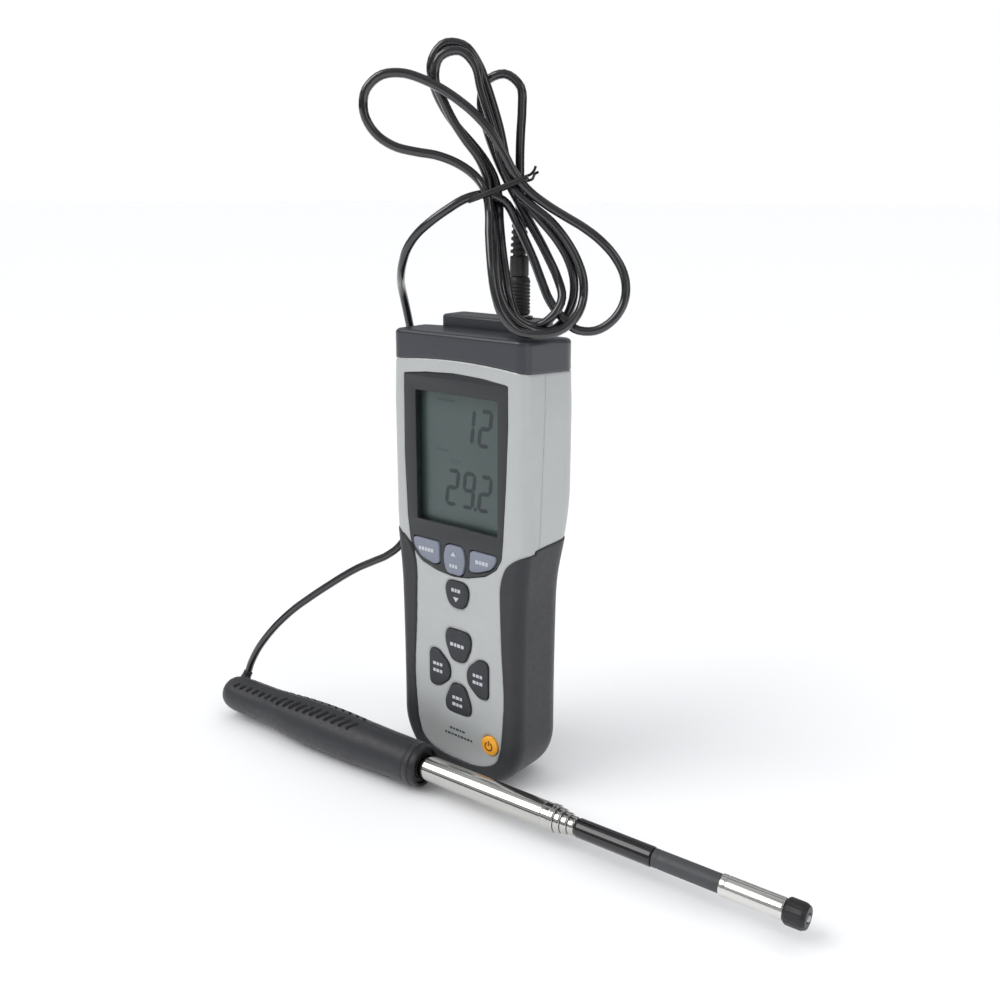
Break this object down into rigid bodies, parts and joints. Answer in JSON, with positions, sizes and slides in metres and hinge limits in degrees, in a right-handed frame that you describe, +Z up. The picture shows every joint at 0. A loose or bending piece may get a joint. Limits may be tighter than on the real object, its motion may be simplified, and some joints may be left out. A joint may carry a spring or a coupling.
{
  "type": "hot-wire thermo-anemometer",
  "caption": "Hand-held air meter with a display, keypad and rubber grip, standing beside a telescopic hot-wire probe joined by a cord tied in a hank.",
  "frame": {"origin": "centre of the meter's foot, on the surface that it stands on", "axes": "+Z up the meter, -Y out of its display, +X to the right seen from the front; the probe lies in front of it, 3 degrees off X"},
  "size_m": [0.3129, 0.0782, 0.3227],
  "materials": {
    "silver_shell": "satin",
    "slate_cap": "satin",
    "grip_rubber": "matt",
    "bezel_gloss": "gloss",
    "lens": "clear",
    "lcd": "satin",
    "white_plastic": "satin",
    "contact_strip": "matt",
    "key_mat": "matt",
    "board": "satin",
    "black_plastic": "satin",
    "key_grey": "satin",
    "key_dark": "satin",
    "key_orange": "satin",
    "steel": "satin",
    "chrome": "polished",
    "battery_wrap": "gloss",
    "cord_black": "gloss",
    "gloss_black": "gloss",
    "barrel_grey": "matt",
    "ceramic": "gloss",
    "door_grey": "satin"
  },
  "bodies": {
    "meter_and_handle": {"front_housing": "silver_shell", "rear_housing": "silver_shell", "rubber_grip": "grip_rubber", "display_bezel": "bezel_gloss", "display_lens": "lens", "lcd_glass": "lcd", "lcd_backlight": "white_plastic", "contact_strip_lower": "contact_strip", "contact_strip_upper": "contact_strip", "key_mat": "key_mat", "main_board": "board", "buzzer": "black_plastic", "case_screw_1": "steel", "case_screw_2": "steel", "case_screw_3": "steel", "case_screw_4": "steel", "battery": "battery_wrap", "battery_snap": "black_plastic", "top_cap": "slate_cap", "din_socket": "black_plastic", "cord_tail": "cord_black", "handle_near": "black_plastic", "handle_far": "black_plastic", "handle_screw": "steel", "cord_gland": "cord_black", "handle_bush": "black_plastic", "tube_1": "chrome"},
    "key_soft_left_body": {"key_soft_left": "key_grey"},
    "key_soft_middle_body": {"key_soft_middle": "key_grey"},
    "key_soft_right_body": {"key_soft_right": "key_grey"},
    "key_select_body": {"key_select": "key_dark"},
    "key_up_body": {"key_up": "key_dark"},
    "key_left_body": {"key_left": "key_dark"},
    "key_right_body": {"key_right": "key_dark"},
    "key_down_body": {"key_down": "key_dark"},
    "key_power_body": {"key_power": "key_orange"},
    "battery_cover": {"battery_door": "door_grey", "battery_door_screw": "steel"},
    "plug": {"plug_shell": "steel", "plug_body": "gloss_black", "strain_relief": "cord_black", "cord_hank": "cord_black", "twist_tie": "black_plastic"},
    "tele_2": {"tube_2": "chrome"},
    "tele_3": {"tube_3": "chrome"},
    "tele_4": {"tube_4": "chrome"},
    "tele_5": {"tube_5": "chrome", "sensor_stem": "gloss_black", "sensor_barrel": "barrel_grey", "sensor_holder": "steel", "sensor_bead": "ceramic", "tip_cap": "black_plastic", "tip_pin": "chrome"},
    "sleeve": {"sensor_sleeve": "chrome"}
  },
  "joints": [
    {"name": "key_soft_left_press", "type": "slide", "parent": "meter_and_handle", "child": "key_soft_left_body", "axis": [0, 1, 0], "range_m": [0, 0.0008], "stiffness_N_per_m": 500, "springref_m": -0.0005},
    {"name": "key_soft_middle_press", "type": "slide", "parent": "meter_and_handle", "child": "key_soft_middle_body", "axis": [0, 1, 0], "range_m": [0, 0.0008], "stiffness_N_per_m": 500, "springref_m": -0.0005},
    {"name": "key_soft_right_press", "type": "slide", "parent": "meter_and_handle", "child": "key_soft_right_body", "axis": [0, 1, 0], "range_m": [0, 0.0008], "stiffness_N_per_m": 500, "springref_m": -0.0005},
    {"name": "key_select_press", "type": "slide", "parent": "meter_and_handle", "child": "key_select_body", "axis": [0, 1, 0], "range_m": [0, 0.001], "stiffness_N_per_m": 500, "springref_m": -0.0005},
    {"name": "key_up_press", "type": "slide", "parent": "meter_and_handle", "child": "key_up_body", "axis": [0, 1, 0], "range_m": [0, 0.001], "stiffness_N_per_m": 500, "springref_m": -0.0005},
    {"name": "key_left_press", "type": "slide", "parent": "meter_and_handle", "child": "key_left_body", "axis": [0, 1, 0], "range_m": [0, 0.001], "stiffness_N_per_m": 500, "springref_m": -0.0005},
    {"name": "key_right_press", "type": "slide", "parent": "meter_and_handle", "child": "key_right_body", "axis": [0, 1, 0], "range_m": [0, 0.001], "stiffness_N_per_m": 500, "springref_m": -0.0005},
    {"name": "key_down_press", "type": "slide", "parent": "meter_and_handle", "child": "key_down_body", "axis": [0, 1, 0], "range_m": [0, 0.001], "stiffness_N_per_m": 500, "springref_m": -0.0005},
    {"name": "key_power_press", "type": "slide", "parent": "meter_and_handle", "child": "key_power_body", "axis": [0, 1, 0], "range_m": [0, 0.001], "stiffness_N_per_m": 500, "springref_m": -0.0005},
    {"name": "battery_door_lift", "type": "slide", "parent": "meter_and_handle", "child": "battery_cover", "axis": [0, 1, 0], "range_m": [0, 0.012]},
    {"name": "plug_pull", "type": "slide", "parent": "meter_and_handle", "child": "plug", "axis": [0, 0, 1], "range_m": [0, 0.012]},
    {"name": "tele_2_slide", "type": "slide", "parent": "meter_and_handle", "child": "tele_2", "axis": [0.9986, 0.0523, 0], "range_m": [0, 0.158]},
    {"name": "tele_3_slide", "type": "slide", "parent": "tele_2", "child": "tele_3", "axis": [0.9986, 0.0523, 0], "range_m": [0, 0.158]},
    {"name": "tele_4_slide", "type": "slide", "parent": "tele_3", "child": "tele_4", "axis": [0.9986, 0.0523, 0], "range_m": [0, 0.158]},
    {"name": "tele_5_slide", "type": "slide", "parent": "tele_4", "child": "tele_5", "axis": [0.9986, 0.0523, 0], "range_m": [0, 0.158]},
    {"name": "sleeve_slide", "type": "slide", "parent": "tele_5", "child": "sleeve", "axis": [-0.9986, -0.0523, 0], "range_m": [0, 0.0255]}
  ]
}
